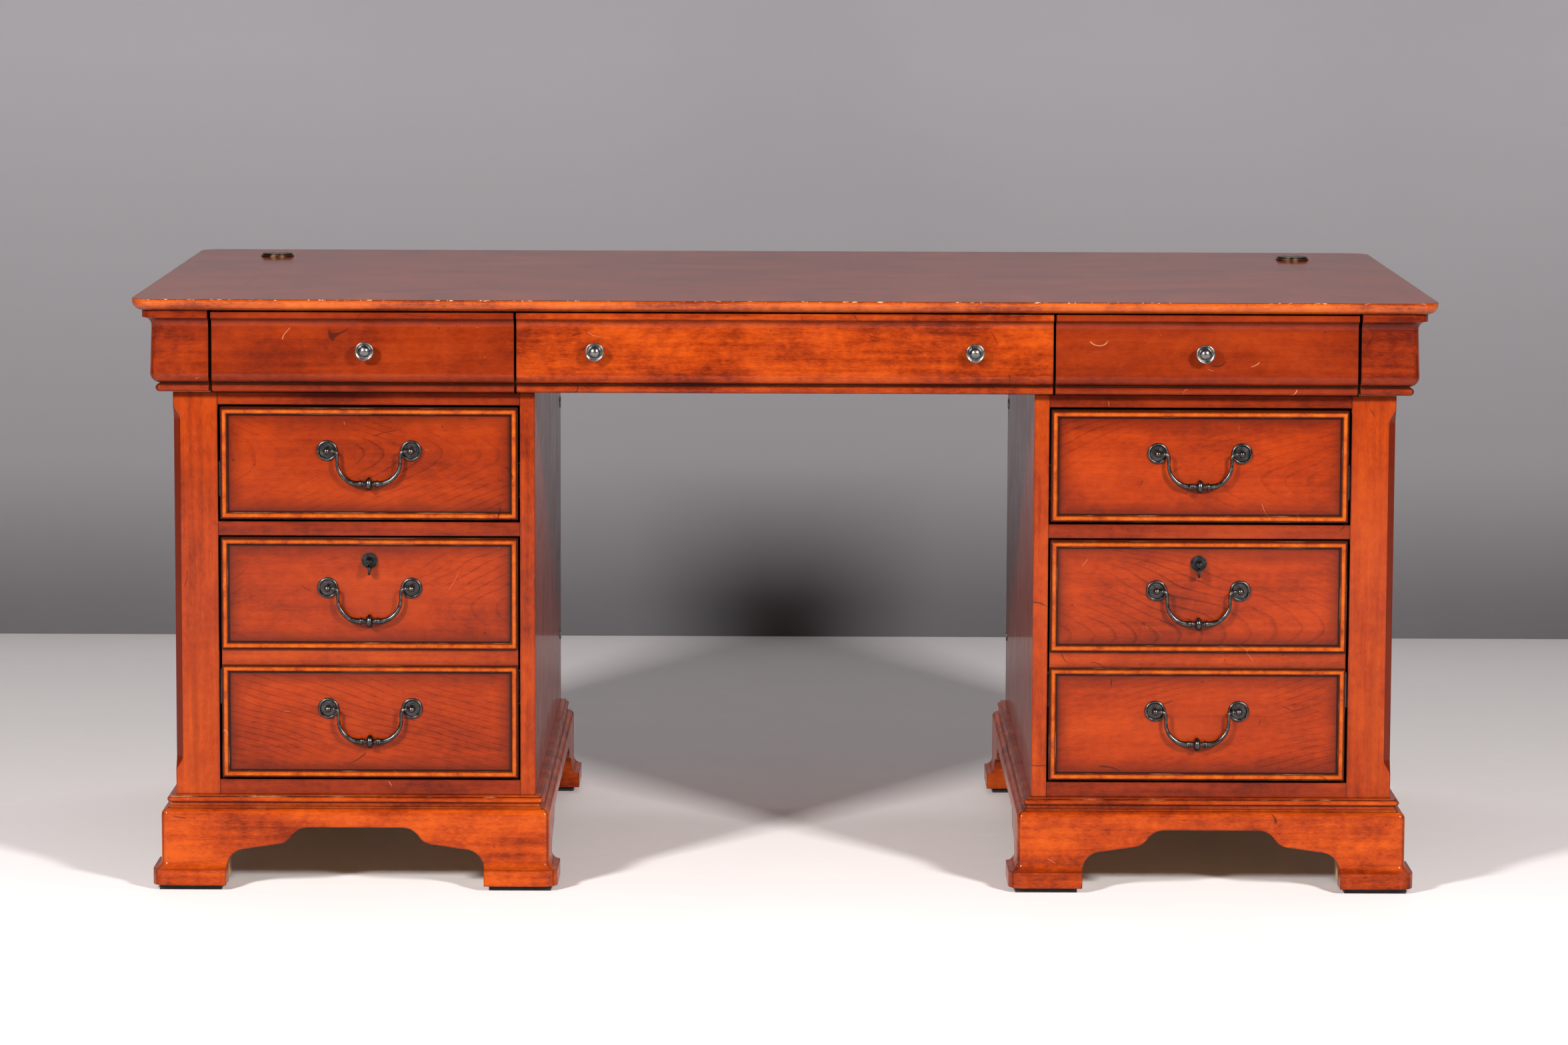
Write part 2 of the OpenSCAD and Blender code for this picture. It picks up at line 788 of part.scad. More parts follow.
// Turned knob: foot, neck, grooved rim and low dome; the stud goes into the front
module knob(x) {
    r = knob_d / 2;
    bolt_len = 14;
    foot_r = 8;
    neck_r = 5.2;
    neck_h = 10;
    head_h = 9;
    dome_r = 7.5;
    dome_h = 2.5;
    dome_ball = (dome_r * dome_r + dome_h * dome_h) / (2 * dome_h);
    color(pewter) on_front(x, knob_z, frieze_back - seat_u) rotate_extrude() {
        translate([0, -bolt_len]) square([bolt_r, bolt_len + 1]);
        square([foot_r, 2]);
        square([neck_r, neck_h + 2]);
        translate([0, neck_h]) {
            polygon([[0, 0], [neck_r, 0], [r - 2, 3], [r, 5], [r, 7], [r - 2, head_h], [0, head_h]]);
            intersection() {
                translate([0, head_h + dome_h - dome_ball]) circle(r = dome_ball);
                translate([0, head_h - 1]) square([dome_r, dome_h + 1]);
            }
        }
    }
}

// Section of the frame moulding on the drawer fronts: (in from the edge, out)
module drawer_mould_section() {
    square([mould_w, 3]);
    square([mould_w - 1, 4]);
    translate([4.6, 4]) circle(3.8);
}

// A panelled face between two heights
module front_moulding(z) {
    on_front(front_mid, (z[0] + z[1]) / 2) {
        mitred_frame(front_out - front_in, z[1] - z[0], mould_w, 12) intersection() {
            drawer_mould_section();
            square([mould_w, 8]);
        }
    }
}

// Holes through a drawer front for a handle's bolts
module bolt_holes(z) {
    for (side = [-1, 1]) {
        on_front(front_mid + side * bail_span / 2, z) {
            translate([0, 0, -front_t - eps]) cylinder(r = bolt_r + 0.1, h = front_t + 2 * eps);
        }
    }
}

module upper_drawer_front(side) {
    color(cherry_dark) on_side(side) {
        difference() {
            block([front_in, front_out], [-face_y, -face_y + front_t], upper_front);
            bolt_holes(upper_bail_z);
        }
        front_moulding(upper_front);
    }
}

// One deep front faced as two drawers with a false rail between them
module file_drawer_front(side) {
    color(cherry_dark) on_side(side) {
        difference() {
            block([front_in, front_out], [-face_y, -face_y + front_t], file_front);
            bolt_holes(middle_bail_z);
            bolt_holes(lower_bail_z);
            on_front(front_mid, lock_z) translate([0, 0, -front_t - eps]) {
                cylinder(r = lock_barrel_r + 0.1, h = front_t + 2 * eps);
            }
        }
        front_moulding([false_rail[1], file_front[1]]);
        front_moulding([file_front[0], false_rail[0]]);
    }
}

// ---------- handles ----------

// Rosette, ball post, bolt and nut; the ball is bored for the bail's pin
module rosette(inward) {
    plate_r = 13.5;
    plate_t = 1.6;
    rim_r = 1.8;
    ball_r = 4.6;
    nut_t = 3;
    difference() {
        union() {
            rotate_extrude() {
                square([plate_r, plate_t]);
                translate([plate_r - rim_r - 0.1, plate_t]) intersection() {
                    circle(rim_r);
                    translate([-rim_r, 0]) square([2 * rim_r, rim_r]);
                }
                square([6.4, plate_t + 1.4]);
                square([3.6, hinge_out - 2]);
                intersection() {
                    translate([0, hinge_out]) circle(ball_r);
                    translate([0, hinge_out - ball_r]) square([ball_r, 2 * ball_r]);
                }
            }
            translate([0, 0, -front_t - nut_t]) cylinder(r = bolt_r, h = front_t + nut_t + plate_t / 2);
            translate([0, 0, -front_t - nut_t]) cylinder(r = 4.2, h = nut_t, $fn = 6);
        }
        translate([0, 0, hinge_out]) rotate([0, inward * 90, 0]) translate([0, 0, -pin_in - 1]) {
            cylinder(r = pin_r + 0.08, h = 2 * ball_r);
        }
    }
}

module rosette_pair(side, z) {
    color(pewter) on_side(side) on_front(front_mid, z) {
        for (end = [-1, 1]) translate([end * bail_span / 2, 0, 0]) rosette(-end);
    }
}

// Collar, neck and half of the centre bead of a bail, turned about the bar from the middle outwards
module half_bead() {
    bead_r = 8.8;
    bead_half = 4;
    neck_r = 3.2;
    collars = [[neck_r + 1, 7.6, 1.2], [neck_r + 2, 9.4, 1.6], [neck_r + 1.2, 11, 1.5]];
    rotate_extrude() {
        square([bead_r - bead_half, bead_half]);
        intersection() {
            translate([bead_r - bead_half, 0]) circle(bead_half);
            square([bead_r, bead_half]);
        }
    }
    cylinder(r = neck_r, h = bar_from + 0.5);
    for (collar = collars) translate([0, 0, collar[1]]) cylinder(r = collar[0], h = collar[2]);
}

// Half of a bail in its own plane: pin, neck ring, turn, arm and a curve that swells towards the bar
module half_bail() {
    pivot = bail_span / 2;
    turn_r = 5.5;
    curve_r = 28;
    arm_x = bar_from + curve_r;
    turn_x = arm_x + turn_r;
    curve_z = curve_r - bail_drop;
    swell = 4;
    lap = 0.5;
    ring_t = 1.3;
    translate([turn_x, 0, 0]) rotate([0, 90, 0]) {
        cylinder(r = pin_r, h = pivot + pin_in - turn_x);
        cylinder(r = pin_r + 0.8, h = ring_t);
    }
    translate([turn_x, 0, -turn_r]) rotate([90, 0, 0]) rotate([0, 0, 90]) rotate_extrude(angle = 90) {
        translate([turn_r, 0]) circle(bail_r);
    }
    translate([arm_x, 0, curve_z - lap]) cylinder(r = bail_r, h = lap - turn_r - curve_z);
    for (step = [1:swell]) {
        translate([bar_from, 0, curve_z]) rotate([90, 0, 0]) rotate([0, 0, -90 * step / swell]) {
            rotate_extrude(angle = 90 / swell + (step > 1 ? lap : 0)) translate([curve_r, 0]) {
                circle(bail_r + (bar_r - bail_r) * step / swell);
            }
        }
    }
    translate([0, 0, -bail_drop]) rotate([0, 90, 0]) half_bead();
}

module bail(side, z) {
    color(pewter) on_side(side) translate([front_mid, -face_y - hinge_out, z]) {
        half_bail();
        mirror([1, 0, 0]) half_bail();
    }
}

// ---------- locks ----------

// Face ring and barrel of a cam lock
module lock_case(side) {
    color(black) on_side(side) on_front(front_mid, lock_z) difference() {
        union() {
            cylinder(r = lock_d / 2, h = 2);
            translate([0, 0, -front_t]) cylinder(r = lock_barrel_r, h = front_t + 1);
        }
        translate([0, 0, -front_t - eps]) cylinder(r = plug_r + 0.05, h = front_t + 3 + 2 * eps);
    }
}

// Turning plug with its cam behind and a key blade with a hinge lug in front
module lock_plug(side) {
    lug_w = 1.6;
    lug_r = 3;
    play = 0.3;
    face_out = 2;
    cam_from = -front_t - cam_back;
    cam_t = 2.5;
    cam_w = 12;
    cam_len = 42;
    color(steel) on_side(side) on_front(front_mid, lock_z) {
        translate([0, 0, cam_from]) cylinder(r = plug_r, h = face_out - cam_from);
        translate([-cam_w / 2, -cam_w / 2, cam_from - cam_t]) cube([cam_len, cam_w, cam_t]);
        for (end = [-1, 1]) {
            translate([end * (key_t / 2 + play + lug_w / 2) - lug_w / 2, 0, face_out]) {
                translate([0, -lug_r, 0]) cube([lug_w, 2 * lug_r, key_pivot_out - face_out]);
                translate([0, 0, key_pivot_out - face_out]) rotate([0, 90, 0]) cylinder(r = lug_r, h = lug_w);
            }
        }
    }
}

// Folding bow that hangs from the key's hinge
module key_bow(side) {
    bow_r = 7;
    bow_drop = 10.5;
    color(black) on_side(side) on_front(front_mid, lock_z) {
        translate([-key_t / 2, 0, key_pivot_out]) rotate([90, 0, 90]) linear_extrude(key_t) difference() {
            union() {
                circle(3);
                translate([-bow_drop, -2.5]) square([bow_drop, 5]);
                translate([-bow_drop, 0]) circle(bow_r);
            }
            translate([-bow_drop - 2, 0]) circle(2.4);
        }
    }
}

// ---------- assembly ----------

desktop_core();
edge_moulding();
grommet_sleeves();
grommet_cap(-1);  // left_grommet_cap
grommet_cap(1);  // right_grommet_cap
frieze_corner_blocks();
frieze_side_mouldings();
frieze_carcass();
corner_posts();
side_and_back_rails();
raised_panels();
inner_sides();
front_rails();
pedestal_boards();
slide_packers();
plinth_mouldings();
bracket_foot_boards();
foot_glue_blocks();
foot_pads();
panel_connectors();
carcass_slides();
side_frieze_front(-1);  // left_frieze_front
side_frieze_box(-1);  // left_frieze_box
knob(-knob_side_x);  // left_frieze_knob
union() {  // centre_frieze_front
    frieze_front([1.5 - frieze_split, frieze_split - 1.5], [-knob_centre_x, knob_centre_x]);
}
union() {  // centre_frieze_box
    drawer_box([2 - knee_half, knee_half - 2], [frieze_back, frieze_back + frieze_box_len], frieze_box);
}
union() {  // centre_frieze_knobs
    for (side = [-1, 1]) knob(side * knob_centre_x);
}
side_frieze_front(1);  // right_frieze_front
side_frieze_box(1);  // right_frieze_box
knob(knob_side_x);  // right_frieze_knob
upper_drawer_front(-1);  // left_upper_front
pedestal_box(-1, upper_box);  // left_upper_box
drawer_slides(-1, upper_slide_z);  // left_upper_slides
rosette_pair(-1, upper_bail_z);  // left_upper_rosettes
upper_drawer_front(1);  // right_upper_front
pedestal_box(1, upper_box);  // right_upper_box
drawer_slides(1, upper_slide_z);  // right_upper_slides
rosette_pair(1, upper_bail_z);  // right_upper_rosettes
file_drawer_front(-1);  // left_file_front
pedestal_box(-1, file_box);  // left_file_box
drawer_slides(-1, file_slide_z);  // left_file_slides
union() {  // left_file_rosettes
    for (z = [middle_bail_z, lower_bail_z]) rosette_pair(-1, z);
}
slide_carriers(-1);  // left_file_carriers
file_drawer_front(1);  // right_file_front
pedestal_box(1, file_box);  // right_file_box
drawer_slides(1, file_slide_z);  // right_file_slides
union() {  // right_file_rosettes
    for (z = [middle_bail_z, lower_bail_z]) rosette_pair(1, z);
}
slide_carriers(1);  // right_file_carriers
bail(-1, upper_bail_z);  // left_upper_bail
bail(1, upper_bail_z);  // right_upper_bail
bail(-1, middle_bail_z);  // left_middle_bail
bail(1, middle_bail_z);  // right_middle_bail
bail(-1, lower_bail_z);  // left_lower_bail
bail(1, lower_bail_z);  // right_lower_bail
lock_case(-1);  // left_lock_case
lock_case(1);  // right_lock_case
lock_plug(-1);  // left_lock_plug
lock_plug(1);  // right_lock_plug
key_bow(-1);  // left_key_bow
key_bow(1);  // right_key_bow
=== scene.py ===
"""A cherry-stained pedestal desk: its finishes and fine shapes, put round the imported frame. Metres."""
import json
import math

import bmesh
import bpy
from mathutils import Matrix, Vector

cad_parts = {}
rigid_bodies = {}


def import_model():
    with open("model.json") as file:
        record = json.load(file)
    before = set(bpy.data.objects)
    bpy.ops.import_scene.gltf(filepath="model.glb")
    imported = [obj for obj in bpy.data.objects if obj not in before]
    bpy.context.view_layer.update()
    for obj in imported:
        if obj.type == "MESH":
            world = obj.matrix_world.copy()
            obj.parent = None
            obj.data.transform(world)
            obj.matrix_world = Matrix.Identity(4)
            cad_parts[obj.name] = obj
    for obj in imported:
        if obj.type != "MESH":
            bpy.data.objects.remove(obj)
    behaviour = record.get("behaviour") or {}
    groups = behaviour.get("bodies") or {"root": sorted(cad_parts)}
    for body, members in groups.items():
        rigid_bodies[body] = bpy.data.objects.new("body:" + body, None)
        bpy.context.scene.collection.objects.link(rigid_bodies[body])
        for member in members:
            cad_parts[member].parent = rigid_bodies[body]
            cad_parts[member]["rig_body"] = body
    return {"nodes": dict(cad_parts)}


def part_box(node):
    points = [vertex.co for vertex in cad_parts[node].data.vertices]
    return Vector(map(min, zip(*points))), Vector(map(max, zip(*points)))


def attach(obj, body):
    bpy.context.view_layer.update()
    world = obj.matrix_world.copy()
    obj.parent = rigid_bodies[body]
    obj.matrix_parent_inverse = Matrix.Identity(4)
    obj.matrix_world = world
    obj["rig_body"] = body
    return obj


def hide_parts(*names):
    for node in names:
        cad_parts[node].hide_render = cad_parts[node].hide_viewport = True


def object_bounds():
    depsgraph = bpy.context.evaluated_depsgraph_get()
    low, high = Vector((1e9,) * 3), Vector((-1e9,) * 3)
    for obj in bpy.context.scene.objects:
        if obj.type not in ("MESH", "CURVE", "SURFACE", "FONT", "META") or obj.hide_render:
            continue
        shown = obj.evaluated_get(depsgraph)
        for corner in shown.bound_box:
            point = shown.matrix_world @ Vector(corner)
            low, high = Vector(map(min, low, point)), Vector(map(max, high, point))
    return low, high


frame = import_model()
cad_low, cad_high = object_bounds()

MM = 0.001
SIDES = ("left", "right")


# ---------- the language of the finishes ----------

class Value:
    """A socket that takes part in sums: every operator adds one Math node."""

    def __init__(self, finish, socket):
        self.finish = finish
        self.socket = socket

    def sum(self, operation, first, second=0.0):
        return self.finish.add("ShaderNodeMath", {"operation": operation}, {0: first, 1: second})

    def __add__(self, other):
        return self.sum("ADD", self, other)

    def __sub__(self, other):
        return self.sum("SUBTRACT", self, other)

    def __rsub__(self, other):
        return self.sum("SUBTRACT", other, self)

    def __mul__(self, other):
        return self.sum("MULTIPLY", self, other)

    def __pow__(self, other):
        return self.sum("POWER", self, other)

    def __abs__(self):
        return self.sum("ABSOLUTE", self)

    def least(self, other):
        return self.sum("MINIMUM", self, other)

    def most(self, other):
        return self.sum("MAXIMUM", self, other)

    def fraction(self):
        return self.sum("FRACT", self)

    __radd__ = __add__
    __rmul__ = __mul__


class Finish:
    """A material under construction. Constants of the shader are given by name."""

    def __init__(self, name, **constants):
        self.material = bpy.data.materials.new(name)
        self.material.use_nodes = True
        self.tree = self.material.node_tree
        self.shader = self.tree.nodes["Principled BSDF"]
        for key, value in constants.items():
            self.shader.inputs[key.replace("_", " ")].default_value = value
        self.place = self.add("ShaderNodeTexCoord", output="Object")
        self.x, self.y, self.z = [self.add("ShaderNodeSeparateXYZ", {}, {0: self.place}, i) for i in range(3)]

    def add(self, kind, settings=None, inputs=None, output=0):
        """Adds a node: its settings first, a ramp's stops among them, then its sockets."""
        node = self.tree.nodes.new(kind)
        for key, value in (settings or {}).items():
            if key == "stops":
                set_stops(node.color_ramp, value)
            else:
                setattr(node, key, value)
        for key, value in (inputs or {}).items():
            if isinstance(value, Value):
                self.tree.links.new(value.socket, node.inputs[key])
            else:
                node.inputs[key].default_value = value
        return Value(self, node.outputs[output])

    def feed(self, **sockets):
        """Joins values to the shader's sockets."""
        for key, value in sockets.items():
            self.tree.links.new(value.socket, self.shader.inputs[key.replace("_", " ")])

    def mix(self, first, second, factor):
        """The first colour, going over to the second as the factor goes from 0 to 1."""
        return self.add("ShaderNodeMix", {"data_type": "RGBA"}, {0: factor, 6: first, 7: second}, 2)

    def ramp(self, value, *stops):
        return self.add("ShaderNodeValToRGB", {"stops": stops}, {0: value})

    def step(self, value, low, high, bottom=0.0, top=1.0):
        """Goes smoothly from bottom to top as the value goes from low to high."""
        settings = {"interpolation_type": "SMOOTHSTEP"}
        return self.add("ShaderNodeMapRange", settings, {0: value, 1: low, 2: high, 3: bottom, 4: top})

    def along(self, axis, scale):
        """The place on a board, (along the grain, across, across), each stretched by its scale."""
        order = [(self.x, self.y, self.z)[i] for i in AXES[axis]]
        parts = {i: part * k for i, (part, k) in enumerate(zip(order, scale))}
        return self.add("ShaderNodeCombineXYZ", {}, parts)

    def noise(self, scale, detail=3.0, roughness=0.5, place=None):
        inputs = {"Vector": place or self.place, "Scale": scale, "Detail": detail, "Roughness": roughness}
        return self.add("ShaderNodeTexNoise", {}, inputs)

    def dots(self, scale, size):
        """Sparse dots: 1 inside a dot, 0 elsewhere."""
        distance = self.add("ShaderNodeTexVoronoi", {}, {"Vector": self.place, "Scale": scale}, "Distance")
        return self.step(distance, size, size * 0.6)

    def corner(self, distance):
        """Near 1 deep in a corner or gap, 0 on open surface."""
        settings = {"samples": 3, "only_local": True}
        return 1 - self.add("ShaderNodeAmbientOcclusion", settings, {"Distance": distance}, "AO")

    def edge(self, distance):
        """Near 1 along an outer edge, 0 on flat surface."""
        settings = {"samples": 3, "inside": True, "only_local": True}
        return 1 - self.add("ShaderNodeAmbientOcclusion", settings, {"Distance": distance}, "AO")

    def bump(self, height, distance, strength):
        inputs = {"Height": height, "Distance": distance, "Strength": strength}
        self.feed(Normal=self.add("ShaderNodeBump", {}, inputs))


AXES = {"X": (0, 1, 2), "Y": (1, 0, 2), "Z": (2, 0, 1)}


def set_stops(ramp, stops):
    """Gives a ramp its stops: (position, colour)."""
    while len(ramp.elements) < len(stops):
        ramp.elements.new(1.0)
    for element, (position, colour) in zip(ramp.elements, stops):
        element.position = position
        element.color = colour


def tint(red, green, blue):
    """A linear colour with full alpha."""
    return (red, green, blue, 1.0)


# ---------- lacquered wood ----------

# Palettes run from the light shade over the middle one to the deep one
# The first colour below is the dark of glaze; it is also used as painted shade in corners, grooves, beside
# the drawer frames and under the desktop's edge.
GLAZE_AND_SHADE = tint(0.010, 0.003, 0.002)
GRIME = tint(0.010, 0.009, 0.008)
BARE = tint(0.62, 0.30, 0.16)
RAW_PALE, RAW_DEEP = tint(0.52, 0.33, 0.17), tint(0.30, 0.17, 0.08)
RED = (tint(0.185, 0.0205, 0.0016), tint(0.126, 0.0112, 0.0010), tint(0.058, 0.0044, 0.0008))
ORANGE = (tint(0.270, 0.036, 0.0024), tint(0.182, 0.0190, 0.0015), tint(0.082, 0.0068, 0.0010))
FIELD = (tint(0.250, 0.0270, 0.0016), tint(0.170, 0.0150, 0.0010), RED[2])
GOLD = (tint(0.345, 0.066, 0.0036), tint(0.270, 0.042, 0.0028), tint(0.120, 0.0125, 0.0015))
BRIGHT = (tint(0.330, 0.048, 0.0030), tint(0.225, 0.0250, 0.0018), tint(0.100, 0.0085, 0.0010))
VENEER = (tint(0.220, 0.028, 0.005), tint(0.150, 0.0160, 0.003), tint(0.085, 0.0085, 0.002))

FRAME_W = 9.5 * MM              # the moulding round a drawer front
FALSE_RAIL = (0.2915, 0.3120)   # heights of the rail carved across a file front
BORDER = 0.125                  # the veneer border of the desktop
LINE_SPACING = 8.5 * MM         # between growth lines
CREASE = 35                     # degrees: sharper edges are eased, and stay crisp in the shading


def figure(finish, axis, contrast):
    """The figure of stained cherry, round 0.5: soft clouds, short flecks, faint streaks along the grain."""
    clouds = finish.noise(1.0, 3.0, 0.55, finish.along(axis, (7, 16, 16)))
    flecks = finish.noise(1.0, 3.0, 0.65, finish.along(axis, (130, 620, 620)))
    streaks = finish.noise(1.0, 3.0, 0.55, finish.along(axis, (6, 150, 150)))
    mottle = finish.noise(75.0, 3.0, 0.6)
    sums = (clouds - 0.5) * 1.5 + (flecks - 0.5) * 0.7 + (streaks - 0.5) * 0.7 + (mottle - 0.5) * 0.6
    return sums * contrast + 0.5


def shaded(finish, tone, palette, stops=(0.20, 0.50, 0.80)):
    """Colours a tone with a palette: its deep, middle and light shades stand at the three stops."""
    return finish.ramp(tone, *zip(stops, reversed(palette)))


def growth_lines(finish, heart, slope):
    """Thin dark growth lines of a flat-sawn front: nested arcs whose middles lie at heart (x, z)."""
    warp = finish.noise(1.0, 2.0, 0.4, finish.along("X", (4, 11, 11))) - 0.5
    shiver = finish.noise(1.0, 2.0, 0.5, finish.along("X", (35, 80, 80))) - 0.5
    across = finish.z - heart[1] + warp * 0.05
    radius = (across * across + 0.03 ** 2) ** 0.5
    ring = (radius + (finish.x - heart[0]) * slope + warp * 0.02 + shiver * 0.0016) * (1 / LINE_SPACING)
    strength = finish.step(finish.noise(7.0, 2.0), 0.38, 0.66, 0.12, 1.0)
    return finish.step(ring.fraction(), 0.72, 0.99) * strength


def lacquer(finish, colour, tone, glaze_and_shade_amount, wear):
    """Puts the aged lacquer over a colour: glaze and painted shade in the corners, rubbed edges, nicks, and
    the gloss.
    """
    speckle = finish.noise(240.0, 3.0, 0.7)
    # Painted shade with glaze: corners and gaps are darkened by how enclosed they are
    corner_glaze_and_shade = finish.step(finish.corner(8 * MM) + (speckle - 0.5) * 0.3, 0.15, 0.60) * glaze_and_shade_amount
    colour = finish.mix(colour, GLAZE_AND_SHADE, corner_glaze_and_shade)
    edge = finish.edge(2.0 * MM)
    rim = finish.step(edge + (speckle - 0.5) * 0.3, 0.10, 0.45)
    colour = finish.mix(colour, GLAZE_AND_SHADE, rim * (0.55 * glaze_and_shade_amount))
    patches = finish.step(finish.noise(16.0, 3.0, 0.6), 0.52, 0.66)
    rub = finish.step(edge + (speckle - 0.5) * 1.2, 0.62, 0.80) * patches
    colour = finish.mix(colour, BARE, rub * wear)
    nick = finish.dots(90.0, 0.040) * finish.step(finish.noise(17.0, 1.0), 0.62, 0.64)
    colour = finish.mix(colour, BARE, nick * wear)
    wander = abs(finish.noise(8.0, 1.0) - 0.5)
    scratch = finish.step(wander, 0.0011, 0.0004) * finish.step(finish.noise(27.0, 1.0), 0.64, 0.68)
    colour = finish.mix(colour, BARE, scratch * 0.35)
    scar = finish.step(abs(finish.noise(6.0, 1.5) - 0.47), 0.0030, 0.0010)
    colour = finish.mix(colour, GLAZE_AND_SHADE, scar * finish.step(finish.noise(21.0, 1.0), 0.62, 0.66) * 0.7)
    spot = finish.dots(46.0, 0.06) * finish.step(finish.noise(13.0, 1.0), 0.58, 0.60)
    colour = finish.mix(colour, GLAZE_AND_SHADE, spot * 0.7)
    dull = finish.step(finish.noise(12.0, 4.0, 0.6), 0.3, 0.7, 0.30, 0.42)
    finish.feed(Base_Color=colour, Roughness=dull + corner_glaze_and_shade * 0.2 + rub * 0.2)
    finish.bump(tone * 0.5 - rub - nick - scratch, 0.15 * MM, 0.30)
    return finish.material


def gloss_finish(name):
    """The start of every lacquered finish: wood under a clear coat."""
    return Finish(name, Coat_Weight=0.40, Coat_IOR=1.34, Coat_Roughness=0.07, Specular_IOR_Level=0.05)


def stained(name, axis, shades, contrast=0.55, blotch=0.35, glaze_and_shade_amount=1.0, wear=0.5):
    """A plain lacquered board or moulding with its grain along an axis."""
    finish = gloss_finish(name)
    tone = figure(finish, axis, contrast)
    colour = shaded(finish, tone, shades)
    patches = finish.step(finish.noise(1.0, 4.0, 0.65, finish.along(axis, (11, 30, 30))), 0.55, 0.75)
    return lacquer(finish, finish.mix(colour, shades[2], patches * blotch), tone, glaze_and_shade_amount, wear)


def post_wood():
    """Upright cherry with painted shade on its chamfers, which are darker than the faces."""
    finish = gloss_finish("bright_cherry_upright")
    tone = figure(finish, "Z", 0.55)
    colour = shaded(finish, tone, ORANGE)
    # Painted shade: the chamfers are found by the way they face and darkened
    facing = finish.add("ShaderNodeNewGeometry", output="True Normal")
    sideways, forward = [abs(finish.add("ShaderNodeSeparateXYZ", {}, {0: facing}, i)) for i in range(2)]
    painted_chamfer_shade = finish.step(sideways.least(forward), 0.35, 0.55)
    colour = finish.mix(colour, RED[2], painted_chamfer_shade * 0.8)
    streak = finish.step(finish.noise(1.0, 2.0, 0.5, finish.along("Z", (2.5, 55, 55))), 0.52, 0.70)
    return lacquer(finish, finish.mix(colour, ORANGE[2], streak * 0.35), tone, 1.0, 0.4)


def inner_wood():
    """Inner pedestal sides: deep red inside the kneehole, bright front edges."""
    finish = gloss_finish("cherry_inner_sides")
    tone = figure(finish, "Z", 0.7)
    front_edge = finish.step(finish.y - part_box("inner_sides")[0].y, 1.6 * MM, 1.0 * MM)
    colour = finish.mix(shaded(finish, tone, RED), shaded(finish, tone, ORANGE), front_edge)
    return lacquer(finish, colour, tone, 1.0, 0.4)


def carcass_wood():
    """The frieze frame: raw inside, stained and lacquered on the face that shows at the back."""
    finish = gloss_finish("frieze_back_cherry")
    tone = figure(finish, "X", 0.7)
    raw = finish.ramp(tone, (0.20, RAW_DEEP), (0.80, RAW_PALE))
    back_face = finish.step(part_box("frieze_carcass")[1].y - finish.y, 1.6 * MM, 1.0 * MM)
    colour = finish.mix(raw, shaded(finish, tone, RED), back_face)
    return lacquer(finish, colour, tone, 0.8, 0.4)


def framed_wood():
    """Frames of the outer sides and the backs: the grain runs level, front to back or left to right."""
    finish = gloss_finish("cherry_rails")
    outer = finish.step(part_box("side_and_back_rails")[1].x - abs(finish.x), 14 * MM, 12 * MM)
    tone = figure(finish, "Y", 0.7) * outer + figure(finish, "X", 0.7) * (1 - outer)
    return lacquer(finish, shaded(finish, tone, RED), tone, 1.0, 0.4)


def panelled_front(node, heart, slope, shade):
    """A drawer front: its field with growth lines and painted shade next to the frame, and the golden frame
    moulding with a painted highlight along its crest, glaze and painted shade on both sides and in the
    groove.
    """
    finish = gloss_finish(node + "_cherry")
    low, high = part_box(node)
    heights = [(low.z, high.z)]
    if "file" in node:
        heights = [(low.z, FALSE_RAIL[0]), (FALSE_RAIL[1], high.z)]
    in_from_ends = (finish.x - low.x).least(high.x - finish.x)
    depth = None
    for bottom, top in heights:
        panel = (finish.z - bottom).least(top - finish.z).least(in_from_ends)
        depth = panel if depth is None else depth.most(panel)
    tone = figure(finish, "X", 0.55)
    lines = growth_lines(finish, heart, slope)
    colour = shaded(finish, tone - lines * 0.22, FIELD, (0.12, 0.48, 0.82))
    speckle = finish.noise(330.0, 3.0, 0.7)
    cloud = finish.noise(22.0, 3.0, 0.6)
    # Painted shade with glaze: the field darker within a few centimetres of its frame
    shading = finish.step(depth + (cloud - 0.5) * 0.02, 34 * MM, 9 * MM) * 0.62
    colour = finish.mix(colour, RED[2], shading)
    colour = finish.mix(colour, tint(0, 0, 0), shade)
    streak = finish.noise(60.0, 3.0, 0.6)
    # The bead: gold with a painted highlight along its crest, darkened down both flanks with painted shade
    # and glaze
    bead_gold_and_highlight = shaded(finish, streak + (speckle - 0.5) * 0.5, GOLD, (0.22, 0.44, 0.68))
    crest = abs(depth - 5.2 * MM) + (speckle - 0.5) * 0.003
    bead_gold_and_highlight = finish.mix(bead_gold_and_highlight, RED[2], finish.step(crest, 1.2 * MM, 2.8 * MM) * 0.70)
    bead_gold_and_highlight = finish.mix(bead_gold_and_highlight, GLAZE_AND_SHADE, finish.step(crest, 2.2 * MM, 4.2 * MM) * 0.80)
    colour = finish.mix(colour, bead_gold_and_highlight, finish.step(depth, FRAME_W + 0.3 * MM, FRAME_W - 0.2 * MM))
    colour = finish.mix(colour, shaded(finish, tone, ORANGE), finish.step(depth, 0.1 * MM, -0.1 * MM))
    # Glaze and painted shade in the groove between the frame and the field
    groove = finish.step(abs(depth - FRAME_W - 0.3 * MM), 1.3 * MM, 0.3 * MM)
    colour = finish.mix(colour, GLAZE_AND_SHADE, groove * 0.75)
    return lacquer(finish, colour, tone, 0.8, 0.45)


